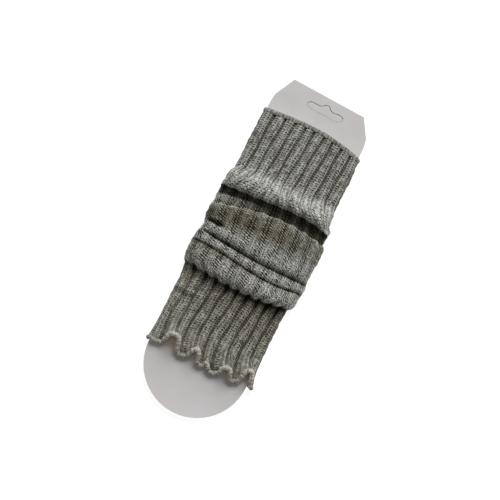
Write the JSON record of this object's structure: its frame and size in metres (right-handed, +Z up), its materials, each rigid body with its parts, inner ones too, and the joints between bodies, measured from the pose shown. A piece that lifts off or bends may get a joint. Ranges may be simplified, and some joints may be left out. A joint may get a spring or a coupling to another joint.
{
  "type": "footless calf sock on a display board",
  "caption": "Ribbed footless calf sock with a frilled hem, pushed into cross folds, stretched over a flat round-ended display board.",
  "frame": {"origin": "under the middle of the whole part's box, on the surface it lies on", "axes": "+Y along the board toward its header and the sock's top welt, +X across it to the right seen from above, +Z up"},
  "size_m": [0.1018, 0.2924, 0.018],
  "materials": {
    "heather_knit": "soft heather grey rib knit",
    "overlock_thread": "matt beige thread",
    "pale_board": "smooth matt pale warm grey card"
  },
  "bodies": {
    "root": {"leg_tube": "heather_knit", "top_welt": "heather_knit", "hem_edging": "overlock_thread", "display_board": "pale_board"}
  },
  "joints": []
}
